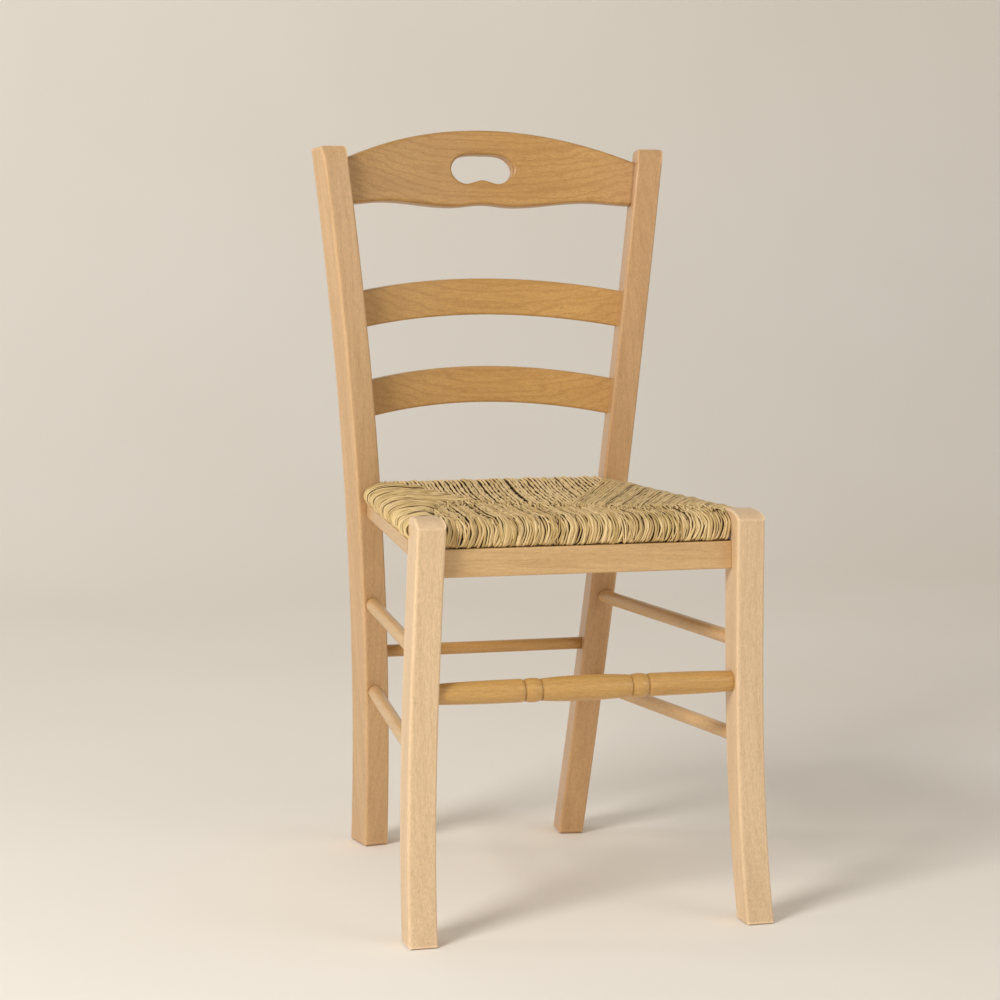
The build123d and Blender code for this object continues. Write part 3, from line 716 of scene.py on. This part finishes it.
def make_strands(name, panel):
    start, end, _, _ = rail_inward(panel)
    span = float(np.linalg.norm(end - start))
    count = int(span / panel["pitch"])
    store = new_store()
    tilt, lift = shared_wave(tilt_rates), shared_wave(lift_rates)
    for k in range(count):
        share = (k + 0.5 + rush_random.uniform(*place_scatter)) / count
        share = share * (1.0 + sum(panel["beyond"])) - panel["beyond"][0]
        sunk = panel["radius"][1] - panel["lift"] * lift(share * span)
        skew = panel["tilt"] * tilt(share * span)
        # End strands take weaker painted shade on their sides
        depth = 1.0 if 0.0 < share < 1.0 else open_end_painted_shade
        path = strand_path(panel, share, sunk, rush_random, skew)
        tube(path, store, panel["sizes"], panel["tints"], depth)
    for share in panel["fill"]:
        path = strand_path(panel, share, panel["radius"][1] + fill_sunk, rush_random)
        tube(path, store, panel["sizes"], panel["tints"], open_end_painted_shade)
    for _ in range(panel["strays"]):
        share = rush_random.uniform(*stray_span)
        skew = rush_random.uniform(-stray_skew, stray_skew)
        path = strand_path(panel, share, panel["radius"][1] - stray_proud, rush_random, skew)
        tube(path, store, stray_sizes, panel["tints"])
    piece = mesh_piece("rush_strands_" + name, store, rush_skin)
    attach(piece, "root")
    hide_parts("rush_" + name)


class Still:
    """Stands in for the random draws where a line has none."""

    def uniform(self, low, high):
        return (low + high) / 2


# The inner layer: its depth, its lines along a rail and points along a line, its skin in metres, its looks
# and the painted shade on it
core_sunk = 4.4
core_count = 44
core_across = 40
core_margin = 0.004
core_skin = 0.0006
core_around = 30.0
core_tint = 0.3
core_groove = 0.4


def make_core():
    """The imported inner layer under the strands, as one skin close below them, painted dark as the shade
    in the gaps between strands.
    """
    store = new_store()
    for panel in panels.values():
        first = len(store["points"])
        for k in range(core_count):
            share = core_margin + (1.0 - 2.0 * core_margin) * k / (core_count - 1)
            points, _, _ = strand_path(panel, share, core_sunk, Still())
            steps = np.linalg.norm(np.diff(points, axis=0), axis=1)
            reach = np.concatenate(([0.0], np.cumsum(steps)))
            for mark in np.linspace(0.0, reach[-1], core_across):
                store["points"].append(
                    tuple(np.interp(mark, reach, points[:, j]) * MM for j in range(3))
                )
                store["along"].append(mark * MM)
                store["around"].append(share * core_around)
                store["tint"].append(core_tint)
                store["groove"].append(core_groove)
        for k in range(core_count - 1):
            for j in range(core_across - 1):
                a = first + k * core_across + j
                store["faces"].append((a, a + core_across, a + core_across + 1, a + 1))
    piece = mesh_piece("rush_inner_layer", store, rush_painted_shade)
    skin = piece.modifiers.new("skin", "SOLIDIFY")
    skin.thickness = core_skin
    skin.offset = 0.0
    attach(piece, "root")
    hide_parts("rush_stuffing")


def make_stitches():
    """Short loops of rush along the front seams, and the turns that pass behind the front legs' tops."""
    store = new_store()
    pick = rush_random
    for seam, share, count in loop_rows:
        for k in range(count):
            place = on_line(seam, share + (1.0 - share) * (k + pick.uniform(*loop_place)) / count)
            place = place + np.array((pick.uniform(*loop_aside), pick.uniform(*loop_back)))
            angle = math.radians(loop_angle + pick.uniform(*loop_turn))
            ahead = np.array((math.cos(angle), math.sin(angle)))
            half = pick.uniform(*loop_half)
            points = []
            for u in np.linspace(-1.0, 1.0, loop_points):
                plan = place + ahead * half * u
                height = loop_rise * (1.0 - u * u) - loop_sunk - loop_dive * abs(u) ** loop_dive_power
                points.append((plan[0], plan[1], seat_top(plan) + height))
            outs = np.array([(0.0, 0.0, 1.0)] * loop_points)
            thick = np.full(loop_points, pick.uniform(*loop_radius))
            tube((np.array(points), outs, thick), store, strand_sizes)
    for side in (-1, 1):
        for k in range(corner_turns):
            shift = np.array((0.0, turn_pitch * k + pick.uniform(*turn_along), pick.uniform(*turn_up)))
            line = np.array([(side * x, y, z) for x, y, z in corner_turn]) + shift
            marks = np.linspace(0.0, len(line) - 1.0, turn_points)
            bend = [np.interp(marks, range(len(line)), line[:, j]) for j in range(3)]
            points = np.array(bend).T
            for _ in range(turn_smoothing):
                points[1:-1] = (points[:-2] + 2.0 * points[1:-1] + points[2:]) / 4.0
            outs = points - np.array((side * turn_middle[0], *turn_middle[1:]))
            outs /= np.linalg.norm(outs, axis=1)[:, None]
            tube((points, outs, np.full(turn_points, turn_radius)), store, strand_sizes)
    piece = mesh_piece("rush_seam_loops", store, rush_skin)
    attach(piece, "root")


for panel_name, panel in panels.items():
    make_strands(panel_name, panel)
make_stitches()
make_core()


# Stage: a pale floor that curves up into a backdrop, in metres
floor_front = -6.0
floor_bend = 2.2
bend_radius = 1.2
bend_steps = 12
wall_top = 6.0
stage_half = 9.0
paper_tones = ((245, 238, 227), (248, 242, 232))


def make_stage():
    rows = [(floor_front, 0.0), (floor_bend, 0.0)]
    for k in range(1, bend_steps + 1):
        angle = math.pi / 2 * k / bend_steps
        rows.append((
            floor_bend + bend_radius * math.sin(angle), bend_radius - bend_radius * math.cos(angle)
        ))
    rows.append((floor_bend + bend_radius, wall_top))
    verts = [(x, y, z) for y, z in rows for x in (-stage_half, stage_half)]
    faces = [(2 * k, 2 * k + 1, 2 * k + 3, 2 * k + 2) for k in range(len(rows) - 1)]
    mesh = bpy.data.meshes.new("studio_floor")
    mesh.from_pydata(verts, [], faces)
    mesh.polygons.foreach_set("use_smooth", [True] * len(faces))
    floor = bpy.data.objects.new("studio_floor", mesh)
    bpy.context.scene.collection.objects.link(floor)
    tree = Tree("studio_paper")
    place = tree.add("ShaderNodeTexCoord").outputs["Object"]
    cloud = tree.noise(place, scale=1.4, detail=2.0)
    colour = tree.mix(tree.ramp(cloud, 0.3, 0.7), *map(linear, paper_tones))
    mesh.materials.append(tree.finish(colour, tree.ramp(cloud, 0.3, 0.7, 0.78, 0.86)))


def area_light(name, place, target, size, power, colour):
    """A round soft lamp."""
    data = bpy.data.lights.new(name, "AREA")
    data.shape = "DISK"
    data.size = size
    data.energy = power
    data.color = colour
    lamp = bpy.data.objects.new(name, data)
    lamp.location = place
    lamp.rotation_euler = (Vector(target) - Vector(place)).to_track_quat("-Z", "Y").to_euler()
    bpy.context.scene.collection.objects.link(lamp)


# A soft key from the left, a lamp for the backdrop, gentle fill from the right, and the room's light
chair_middle = (0.0, 0.0, 0.5)
key_colour = (1.0, 0.985, 0.96)
fill_colour = (1.0, 0.98, 0.95)
world_strength = 0.40
make_stage()
area_light("key", (-2.65, -1.9, 2.3), chair_middle, 1.3, 90.0, key_colour)
area_light("wall", (-2.6, 0.9, 2.6), (-1.0, 3.4, 1.2), 1.2, 14.0, fill_colour)
area_light("fill", (2.4, -2.8, 1.6), chair_middle, 2.4, 21.0, fill_colour)
world = bpy.data.worlds.new("studio")
world.use_nodes = True
world.node_tree.nodes["Background"].inputs[0].default_value = key_colour + (1.0,)
world.node_tree.nodes["Background"].inputs[1].default_value = world_strength
bpy.context.scene.world = world
bpy.context.scene.view_settings.view_transform = "Standard"
